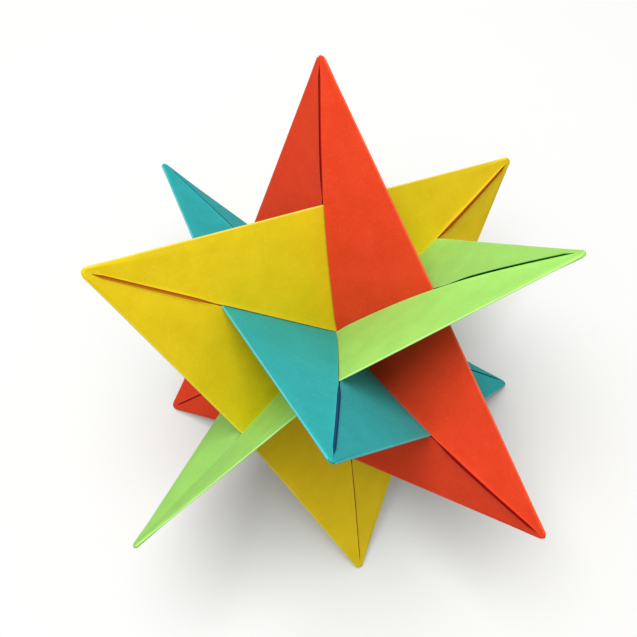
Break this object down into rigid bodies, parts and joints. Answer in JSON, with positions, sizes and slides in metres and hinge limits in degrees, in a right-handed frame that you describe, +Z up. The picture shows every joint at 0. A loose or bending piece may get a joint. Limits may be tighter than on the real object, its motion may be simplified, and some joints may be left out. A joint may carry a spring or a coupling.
{
  "type": "folded paper star",
  "caption": "Star of crossing flat paper triangles, each made of folded kite-shaped units with pointed tips, standing on some of its tips.",
  "frame": {"origin": "on the surface that the star stands on, under its centre, where the four triangles cross", "axes": "+Z up, through the centre; +X and +Y along the sides of the square that the upper tips make"},
  "size_m": [0.114, 0.113, 0.1106],
  "materials": {
    "yellow_paper": "matt coloured paper, dyed through, slightly fibrous",
    "red_paper": "matt coloured paper, dyed through, slightly fibrous",
    "green_paper": "matt coloured paper, dyed through, slightly fibrous",
    "blue_paper": "matt coloured paper, dyed through, slightly fibrous"
  },
  "bodies": {
    "root": {"yellow_unit_1": "yellow_paper", "yellow_unit_2": "yellow_paper", "yellow_unit_3": "yellow_paper", "red_unit_1": "red_paper", "red_unit_2": "red_paper", "red_unit_3": "red_paper", "green_unit_1": "green_paper", "green_unit_2": "green_paper", "green_unit_3": "green_paper", "blue_unit_1": "blue_paper", "blue_unit_2": "blue_paper", "blue_unit_3": "blue_paper"}
  },
  "joints": []
}
